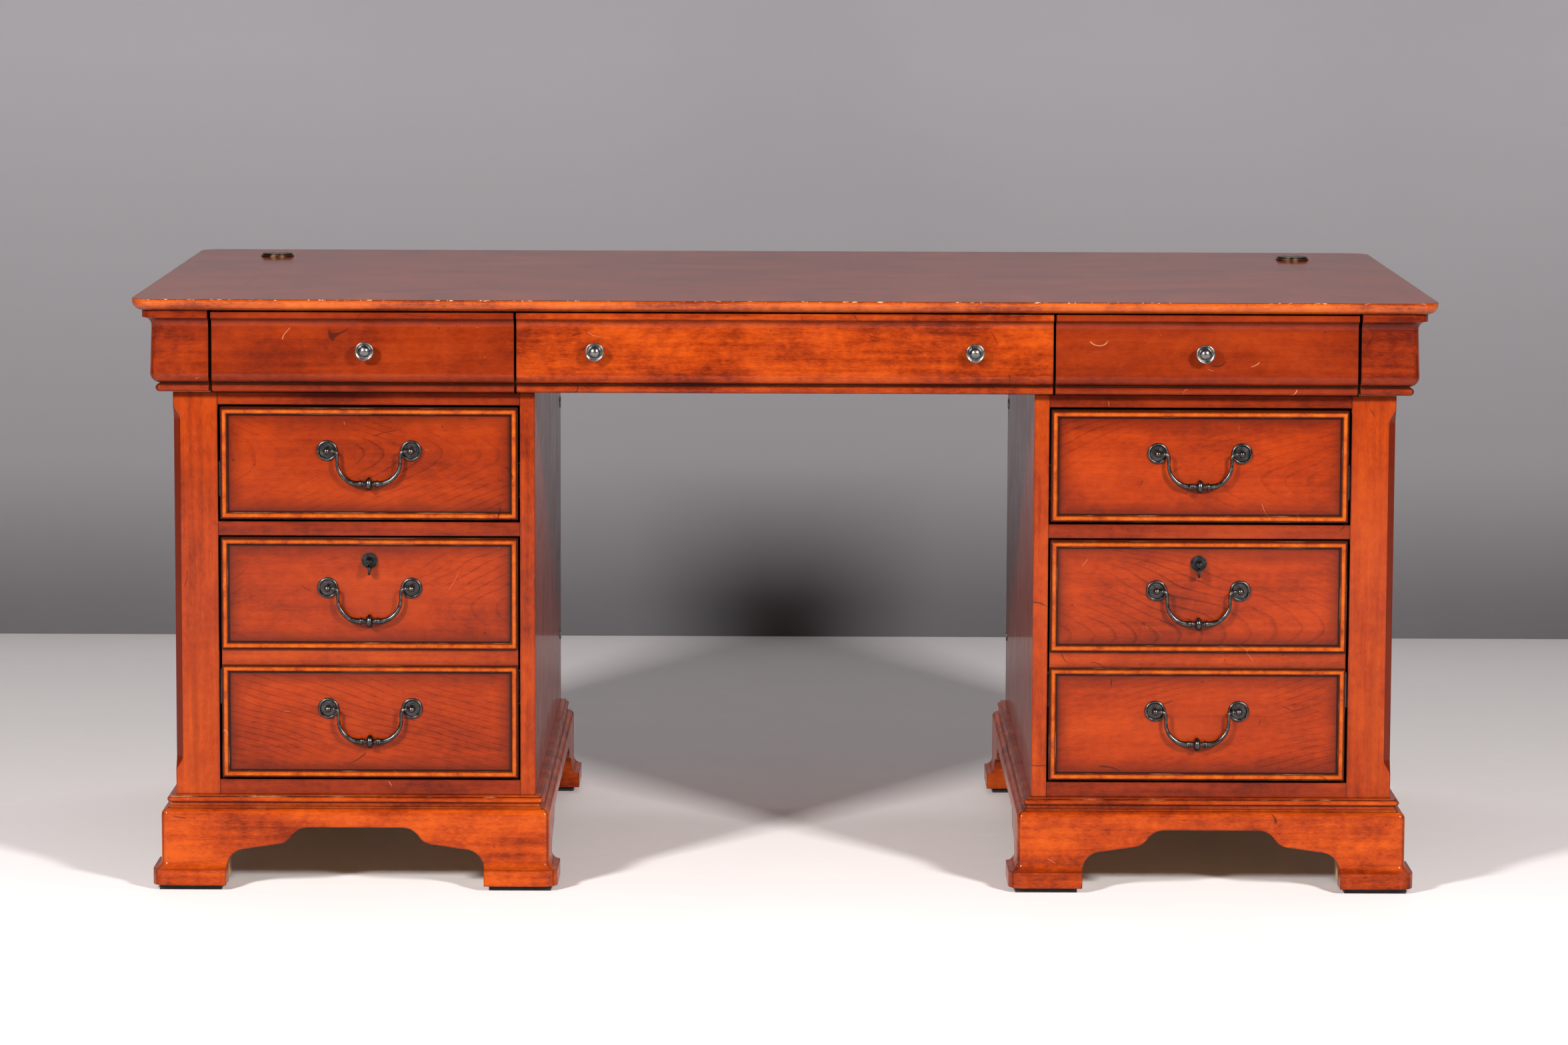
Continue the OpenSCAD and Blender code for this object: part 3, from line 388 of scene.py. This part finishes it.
def desktop_veneer(name, edge_shades=None):
    """Flat veneer inside a border whose grain runs across; the moulding's face keeps its own shades, with
    painted shade where it rounds under.
    """
    finish = Finish(name, Coat_Weight=0.65, Coat_Roughness=0.13, Specular_IOR_Level=0.0)
    from_end = cad_high[0] - abs(finish.x)
    from_side = cad_high[1] - abs(finish.y)
    inwards = from_end.least(from_side)
    border = finish.step(inwards, BORDER + 0.4 * MM, BORDER - 0.4 * MM)
    across = finish.step(from_end - from_side, -0.3 * MM, 0.3 * MM) * border
    tone = figure(finish, "X", 0.6) * (1 - across) + figure(finish, "Y", 0.6) * across
    line = finish.step(abs(inwards - BORDER), 1.4 * MM, 0.5 * MM)
    colour = finish.mix(shaded(finish, tone, VENEER), GLAZE_AND_SHADE, line * 0.5)
    worn = finish.step(finish.noise(5.0, 5.0, 0.6), 0.3, 0.7, 0.30, 0.44)
    if edge_shades:
        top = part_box("edge_moulding")[1].z
        below = finish.step(finish.z, top - 0.4 * MM, top - 1.0 * MM)
        edge = shaded(finish, figure(finish, "X", 0.9), edge_shades)
        # Painted shade: the edge darker where it rounds under
        under = finish.step(finish.z, top - 9 * MM, top - 14 * MM)
        colour = finish.mix(colour, finish.mix(edge, GLAZE_AND_SHADE, under * 0.4), below)
        lip = finish.step(abs(finish.z - top), 1.9 * MM, 0.6 * MM)
        chips = finish.step(finish.noise(1.0, 4.0, 0.75, finish.along("X", (95, 300, 300))), 0.56, 0.62)
        worn_lip = lip * finish.step(inwards, 2.5 * MM, 1.2 * MM)
        colour = finish.mix(colour, GLAZE_AND_SHADE, worn_lip * 0.5)
        colour = finish.mix(colour, BARE, worn_lip * chips * 0.9)
    finish.feed(Base_Color=colour, Roughness=worn)
    finish.bump(tone, 0.06 * MM, 0.25)
    return finish.material


def bare_wood(name, axis, pale, deep):
    """Unfinished hardwood for the hidden work, with painted shade darkening its corners."""
    finish = Finish(name, Specular_IOR_Level=0.3)
    tone = figure(finish, axis, 0.8)
    colour = finish.ramp(tone, (0.2, deep), (0.8, pale))
    # Painted shade: the corners darkened by how enclosed they are
    colour = finish.mix(colour, tint(0.10, 0.055, 0.028), finish.step(finish.corner(10 * MM), 0.2, 0.7) * 0.5)
    finish.feed(Base_Color=colour, Roughness=finish.step(tone, 0.2, 0.8, 0.62, 0.74))
    finish.bump(tone, 0.2 * MM, 0.4)
    return finish.material


# ---------- metal and rubber ----------

def metal(name, dark, bright, rough):
    """Antiqued metal: dark in its hollows, rubbed bright along its edges."""
    finish = Finish(name, Metallic=1.0)
    patina = finish.noise(170.0, 4.0, 0.6)
    colour = finish.mix(dark, bright, finish.step(patina, 0.35, 0.8) * 0.45)
    rubbed = finish.step(finish.edge(1.0 * MM), 0.25, 0.6)
    colour = finish.mix(colour, bright, rubbed * 0.7)
    hollow = finish.step(finish.corner(2.5 * MM), 0.2, 0.65)
    colour = finish.mix(colour, GRIME, hollow * 0.8)
    finish.feed(Base_Color=colour, Roughness=finish.step(patina, 0.3, 0.7, rough, rough + 0.12))
    finish.bump(finish.noise(900.0, 2.0, 0.5), 0.03 * MM, 0.3)
    return finish.material


def black_rubber():
    """The pads under the feet, scuffed grey along their edges."""
    finish = Finish("black_pad", Specular_IOR_Level=0.3)
    scuff = finish.step(finish.edge(2 * MM), 0.3, 0.7) * 0.6
    finish.feed(Base_Color=finish.mix(GRIME, tint(0.07, 0.06, 0.055), scuff),
                Roughness=finish.step(finish.noise(200.0), 0.3, 0.7, 0.55, 0.75))
    finish.bump(finish.noise(500.0), 0.1 * MM, 0.4)
    return finish.material


# ---------- shapes ----------


def finished_piece(node, work, material, smooth_angle=CREASE):
    """Closes a bmesh, shades it so that its flats stay flat, and shows it in the CAD piece's stead."""
    mesh = bpy.data.meshes.new(node + "_finished")
    bmesh.ops.recalc_face_normals(work, faces=work.faces)
    work.to_mesh(mesh)
    work.free()
    mesh.shade_smooth()
    mesh.set_sharp_from_angle(angle=math.radians(smooth_angle))
    mesh.materials.append(material)
    shape = bpy.data.objects.new(node + "_finished", mesh)
    shading = shape.modifiers.new("flats", "WEIGHTED_NORMAL")
    shading.keep_sharp = True
    bpy.context.scene.collection.objects.link(shape)
    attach(shape, frame["nodes"][node]["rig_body"])
    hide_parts(node)


def split_large_faces(work):
    """Splits faces of many sides, so that easing a narrow ledge can't fold one over its neighbours."""
    many = [face for face in work.faces if len(face.verts) > 4]
    bmesh.ops.triangulate(work, faces=many, ngon_method="EAR_CLIP")


def soften(node, width, material):
    """The CAD piece with its sharp edges eased, as sanding and lacquer leave them."""
    work = bmesh.new()
    work.from_mesh(frame["nodes"][node].data)
    bmesh.ops.remove_doubles(work, verts=work.verts, dist=0.01 * MM)
    bmesh.ops.dissolve_limit(work, angle_limit=math.radians(0.5), verts=work.verts, edges=work.edges)
    split_large_faces(work)
    limit = math.radians(CREASE)
    sharp = [e for e in work.edges if len(e.link_faces) == 2 and e.calc_face_angle(0) > limit]
    bmesh.ops.bevel(work, geom=sharp, offset=width, offset_type="OFFSET", segments=2,
                    profile=0.5, affect="EDGES", clamp_overlap=False, material=-1)
    split_large_faces(work)
    finished_piece(node, work, material)


def paint(node, material):
    """A CAD piece shown as it is, with its finish."""
    slots = frame["nodes"][node].data.materials
    slots.clear()
    slots.append(material)


def arc(centre, radius, start, end, steps):
    """Points (x, z) on an arc, its angles in degrees."""
    angles = [math.radians(start + (end - start) * i / steps) for i in range(steps + 1)]
    return [(centre[0] + radius * math.cos(a), centre[1] + radius * math.sin(a)) for a in angles]


def sweep(work, stations):
    """Carries a ring through stations (x, z, radius) in the XZ plane and closes both ends."""
    points = [Vector((x, 0, z)) for x, z, radius in stations]
    ahead = points[1:] + [points[-1] * 2 - points[-2]]
    behind = [points[0] * 2 - points[1]] + points[:-1]
    places = []
    for point, after, before, station in zip(points, ahead, behind, stations):
        heading = (after - before).to_track_quat("Z", "Y").to_matrix().to_4x4()
        places.append(Matrix.Translation(point) @ heading @ Matrix.Scale(station[2], 4))
    start = bmesh.ops.create_circle(work, segments=20, radius=1.0, matrix=places[0], cap_ends=True)
    ring = list({e for v in start["verts"] for e in v.link_edges})
    for place, last in zip(places[1:], places):
        grown = bmesh.ops.extrude_edge_only(work, edges=ring)["geom"]
        verts = [g for g in grown if isinstance(g, bmesh.types.BMVert)]
        new = set(verts)
        bmesh.ops.transform(work, verts=verts, matrix=place @ last.inverted())
        ring = [e for e in work.edges if e.verts[0] in new and e.verts[1] in new]
    bmesh.ops.contextual_create(work, geom=ring)


def band(work, x, z, inner, outer, width):
    """A ring round a line along X, with a rounded rim."""
    round_r = min(width / 2, outer - inner)
    rim = arc((0, outer - round_r), round_r, 0, 180, 8)
    profile = [(width / 2, inner)] + [(u * width / (2 * round_r), v) for u, v in rim] + [(-width / 2, inner)]
    verts = [work.verts.new((x + along, 0, z + out)) for along, out in profile]
    edges = [work.edges.new(pair) for pair in zip(verts, verts[1:] + verts[:1])]
    bmesh.ops.spin(work, geom=verts + edges, cent=(0, 0, z), axis=(1, 0, 0), dvec=(0, 0, 0),
                   angle=math.tau, steps=28, use_merge=True, use_duplicate=False)


COLLARS = ((8.2, 4.2, 1.2), (10.2, 5.2, 1.7), (11.8, 4.6, 1.5))   # mm: from the bead, radius, width
COLLAR_BORE = 2.5 * MM
TURNED_CREASE = 50              # degrees, for the turned and bent metal


def bail(node, material):
    """A bail: pins, neck rings, turns, arms that swell into the bar, collars and the middle bead."""
    low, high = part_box(node)
    middle = (low + high) / 2
    bead_r = (high.y - low.y) / 2
    pin_tip = (high.x - low.x) / 2
    neck_ring_r, curve_r, turn_r = 2.8 * MM, 28 * MM, 5.5 * MM
    pin_r, bar_r, core_r = 2.0 * MM, 3.6 * MM, 3.0 * MM
    arm_r, swell = 2.15, 1.75    # millimetres: the arm's radius, and how much it gains on its way to the bar
    drop = high.z - low.z - neck_ring_r - bead_r
    bar_x = pin_tip - 43 * MM
    arm_x = bar_x + curve_r
    curve_steps = 24
    curve = arc((bar_x, curve_r - drop), curve_r, 0, -90, curve_steps)
    turn = arc((arm_x + turn_r, -turn_r), turn_r, 90, 180, 10)
    neck_x = turn[0][0]
    half = [(pin_tip, 0, pin_r), (neck_x + 1 * MM, 0, pin_r)]
    half += [(x, z, arm_r * MM) for x, z in turn]
    for i, (x, z) in enumerate(curve):
        half.append((x, z, (arm_r + swell * (i / curve_steps) ** 1.3) * MM))
    half += [(bar_x - 1 * MM, -drop, bar_r), (bar_x - 1.5 * MM, -drop, core_r), (0.5 * MM, -drop, core_r)]
    work = bmesh.new()
    sweep(work, half + [(-x, z, r) for x, z, r in reversed(half)])
    for side in (-1, 1):
        band(work, side * (neck_x + 0.65 * MM), 0, 1.5 * MM, neck_ring_r, 1.4 * MM)
        for out, r, width in COLLARS:
            band(work, side * out * MM, -drop, COLLAR_BORE, r * MM, width * MM)
    band(work, 0, -drop, COLLAR_BORE, bead_r, 8 * MM)
    bmesh.ops.translate(work, verts=work.verts, vec=(middle.x, middle.y, high.z - neck_ring_r))
    finished_piece(node, work, material, TURNED_CREASE)


def knobs(node, count, material):
    """Turned knobs. Their profile is (radius, height above the drawer's face) in millimetres."""
    low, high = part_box(node)
    head_r = (high.z - low.z) / 2
    bolt = [(0, -14), (2.0, -14), (2.0, -0.5)]
    foot = [(8.0, 0), (8.0, 1.4), (7.4, 2.0)]
    waist = [(5.6, 2.4), (5.1, 4.0), (5.1, 8.0), (5.8, 10.2), (9.0, 12.0), (11.4, 13.6)]
    rim_z, dome_r, dome_h = 15.6, 7.5, 5.6
    bead = arc((11.0, rim_z), 1.0, -60, 120, 6)
    hollow = [(9.6, 15.9), (8.6, 15.2), (7.9, 15.3)]
    turns = [math.radians(a) for a in range(0, 90, 10)]
    dome = [(dome_r * math.cos(a), rim_z + dome_h * math.sin(a)) for a in turns]
    profile = bolt + foot + waist + bead + hollow + dome + [(0, rim_z + dome_h)]
    face = low.y + 21.5 * MM
    work = bmesh.new()
    for i in range(count):
        x = (low.x + high.x) / 2 if count == 1 else (low.x + head_r, high.x - head_r)[i]
        z = (low.z + high.z) / 2
        verts = [work.verts.new((x + r * MM, face - u * MM, z)) for r, u in profile]
        edges = [work.edges.new(pair) for pair in zip(verts, verts[1:])]
        bmesh.ops.spin(work, geom=verts + edges, cent=(x, 0, z), axis=(0, 1, 0), dvec=(0, 0, 0),
                       angle=math.tau, steps=48, use_merge=True, use_duplicate=False)
    bmesh.ops.remove_doubles(work, verts=work.verts, dist=0.001 * MM)
    finished_piece(node, work, material, TURNED_CREASE)


# ---------- studio ----------

WALL_Y = 1.96
KEY_PLACE = (2.75, -4.1, 2.55)  # the right key lamp; the left one mirrors it
KEY_AIM = (0, 0, 0.4)


def stage_sheet(name, size, turn, place, material):
    """A flat square sheet, turned in degrees about X, that isn't part of the desk."""
    work = bmesh.new()
    bmesh.ops.create_grid(work, x_segments=1, y_segments=1, size=size)
    bmesh.ops.rotate(work, verts=work.verts, matrix=Matrix.Rotation(math.radians(turn), 3, "X"))
    bmesh.ops.translate(work, verts=work.verts, vec=place)
    mesh = bpy.data.meshes.new(name)
    work.to_mesh(mesh)
    work.free()
    mesh.materials.append(material)
    sheet = bpy.data.objects.new(name, mesh)
    bpy.context.scene.collection.objects.link(sheet)


def studio():
    """A pale floor, and a grey wall behind the desk that is clear from its rear; the wall carries painted
    shade, darker towards the floor.
    """
    floor = Finish("floor_paint", Specular_IOR_Level=0.25)
    scuffs = floor.noise(3.0, 6.0, 0.7)
    scratch = floor.step(floor.noise(1.0, 5.0, 0.8, floor.along("X", (5, 60, 60))), 0.60, 0.72)
    pale = floor.mix(tint(0.78, 0.735, 0.72), tint(0.71, 0.67, 0.655), scuffs)
    floor.feed(Base_Color=floor.mix(pale, tint(0.9, 0.88, 0.87), scratch * 0.5),
               Roughness=floor.step(scuffs, 0.3, 0.7, 0.45, 0.6))
    stage_sheet("floor", 14.0, 0, (0, 0, 0), floor.material)

    wall = Finish("wall_paint", Specular_IOR_Level=0.1, Roughness=0.9)
    # Painted shade: the wall darker towards the floor, lightest about a metre up
    shade = wall.ramp(wall.z * 0.5, (0.0, tint(0.125, 0.117, 0.121)), (0.12, tint(0.160, 0.152, 0.157)),
                      (0.50, tint(0.215, 0.206, 0.214)), (1.0, tint(0.195, 0.187, 0.195)))
    smudges = wall.step(wall.noise(1.6, 4.0), 0.4, 0.7) * 0.25
    wall.feed(Base_Color=wall.mix(shade, tint(0.17, 0.163, 0.17), smudges))
    clear = wall.add("ShaderNodeBsdfTransparent")
    behind = wall.add("ShaderNodeNewGeometry", output="Backfacing")
    painted = Value(wall, wall.shader.outputs[0])
    both = wall.add("ShaderNodeMixShader", {}, {0: behind, 1: painted, 2: clear})
    wall.tree.links.new(both.socket, wall.tree.nodes["Material Output"].inputs[0])
    stage_sheet("wall", 8.0, 90, (0, WALL_Y, 8.0), wall.material)


def soft_box(name, place, aim, width, height, power):
    """A rectangular lamp at place, facing aim, its power in watts."""
    lamp = bpy.data.lights.new(name, "AREA")
    lamp.shape = "RECTANGLE"
    lamp.size = width
    lamp.size_y = height
    lamp.energy = power
    holder = bpy.data.objects.new(name, lamp)
    holder.location = place
    holder.rotation_euler = (Vector(aim) - Vector(place)).to_track_quat("-Z", "Y").to_euler()
    bpy.context.scene.collection.objects.link(holder)


def lighting():
    """Two soft boxes in front, a weak one behind, and a grey room."""
    right, front, up = KEY_PLACE
    soft_box("key_left", (-right, front, up), KEY_AIM, 0.6, 0.7, 410)
    soft_box("key_right", KEY_PLACE, KEY_AIM, 0.6, 0.7, 385)
    soft_box("rear_fill", (0, 1.8, 3.6), (0, 0.2, 0.3), 3.0, 0.8, 30)
    world = bpy.data.worlds.new("studio")
    world.use_nodes = True
    background = world.node_tree.nodes["Background"]
    background.inputs["Color"].default_value = tint(0.42, 0.41, 0.43)
    background.inputs["Strength"].default_value = 0.13
    bpy.context.scene.world = world


def camera():
    """The standing view from in front, a little above the desktop."""
    lens = bpy.data.cameras.new("camera")
    lens.lens = 128.5
    lens.sensor_width = 36.0
    lens.clip_end = 100.0
    eye = bpy.data.objects.new("camera", lens)
    look_down = 6.77            # degrees
    pitch = Matrix.Rotation(math.radians(90 - look_down), 4, "X")
    roll = Matrix.Rotation(0.0037, 4, "Z")
    heading = Matrix.Rotation(-0.0007, 4, "Z")
    eye.matrix_world = Matrix.Translation((-0.0054, -7.570, 1.3285)) @ heading @ pitch @ roll
    bpy.context.scene.collection.objects.link(eye)
    bpy.context.scene.camera = eye
    bpy.context.scene.view_settings.view_transform = "Standard"


# ---------- the desk ----------

# Each front: the middle of its growth lines (x, z), their slope, and how much darker it is than the rest
FRONTS = {
    "left_upper_front": ((-0.66, 0.560), 0.34, 0.10),
    "right_upper_front": ((0.60, 0.535), -0.30, 0.0),
    "left_file_front": ((-0.36, 0.365), -0.26, 0.05),
    "right_file_front": ((0.68, 0.340), 0.30, 0.0),
}


def woodwork():
    """Every wooden piece, with the grain running as the joiner laid it."""
    soften("desktop_core", 0.2 * MM, desktop_veneer("desktop_veneer"))
    soften("edge_moulding", 0.5 * MM, desktop_veneer("bright_cherry_edge", GOLD))
    soften("front_rails", 0.6 * MM, stained("bright_cherry_rails", "X", RED, 0.7, 0.3, 1.0, 0.35))
    soften("frieze_corner_blocks", 0.6 * MM, stained("cherry_corner", "X", RED, 0.9, 0.6, 1.0, 0.8))
    soften("frieze_side_mouldings", 0.6 * MM, stained("cherry_deep", "Y", RED, 0.8))
    soften("corner_posts", 0.6 * MM, post_wood())
    soften("side_and_back_rails", 0.8 * MM, framed_wood())
    soften("raised_panels", 0.8 * MM, stained("cherry_panels", "Z", RED, 0.7, 0.4))
    soften("inner_sides", 0.8 * MM, inner_wood())
    base = stained("bright_cherry_base", "X", BRIGHT, 0.9, 0.45, 1.1, 0.7)
    for node in ("plinth_mouldings", "bracket_foot_boards"):
        soften(node, 0.8 * MM, base)
    raw = bare_wood("raw_wood", "Y", RAW_PALE, RAW_DEEP)
    for node in ("slide_packers", "foot_glue_blocks"):
        soften(node, 0.6 * MM, raw)
    soften("frieze_carcass", 0.6 * MM, carcass_wood())
    plywood = bare_wood("plywood", "X", tint(0.50, 0.33, 0.18), tint(0.33, 0.20, 0.10))
    soften("pedestal_boards", 0.4 * MM, plywood)
    for name in ("left", "centre", "right"):
        soften(name + "_frieze_box", 0.6 * MM, raw)
    for name in SIDES:
        for drawer in ("upper", "file"):
            soften(f"{name}_{drawer}_box", 0.6 * MM, raw)
    soften("left_frieze_front", 0.6 * MM, stained("cherry_left_frieze", "X", RED, 0.6, 0.5))
    soften("right_frieze_front", 0.6 * MM, stained("cherry_across", "X", RED))
    mottled = stained("cherry_centre_frieze", "X", ORANGE, 1.0, 0.8, 1.0, 0.8)
    soften("centre_frieze_front", 0.6 * MM, mottled)
    for node, (heart, slope, shade) in FRONTS.items():
        soften(node, 0.5 * MM, panelled_front(node, heart, slope, shade))


def hardware():
    """Handles, knobs, locks, slides, grommets, connectors and pads."""
    pewter = metal("dark_pewter", tint(0.045, 0.042, 0.041), tint(0.20, 0.19, 0.185), 0.24)
    satin = metal("satin_pewter", tint(0.12, 0.115, 0.112), tint(0.38, 0.37, 0.36), 0.24)
    bronze = metal("bronze", tint(0.035, 0.022, 0.013), tint(0.24, 0.125, 0.065), 0.30)
    black = metal("black_lock", tint(0.018, 0.017, 0.017), tint(0.10, 0.095, 0.09), 0.30)
    steel = metal("zinc_steel", tint(0.20, 0.20, 0.21), tint(0.42, 0.42, 0.44), 0.34)
    for name in SIDES:
        soften(name + "_grommet_cap", 0.4 * MM, bronze)
        for drawer in ("upper", "file"):
            paint(f"{name}_{drawer}_rosettes", pewter)
            paint(f"{name}_{drawer}_slides", steel)
        paint(name + "_file_carriers", steel)
        for place in ("upper", "middle", "lower"):
            bail(f"{name}_{place}_bail", pewter)
        for part in ("lock_case", "lock_plug", "key_bow"):
            paint(f"{name}_{part}", black)
        knobs(name + "_frieze_knob", 1, satin)
    knobs("centre_frieze_knobs", 2, satin)
    paint("carcass_slides", steel)
    soften("panel_connectors", 0.2 * MM, steel)
    soften("grommet_sleeves", 0.4 * MM, bronze)
    paint("foot_pads", black_rubber())


studio()
lighting()
camera()
woodwork()
hardware()
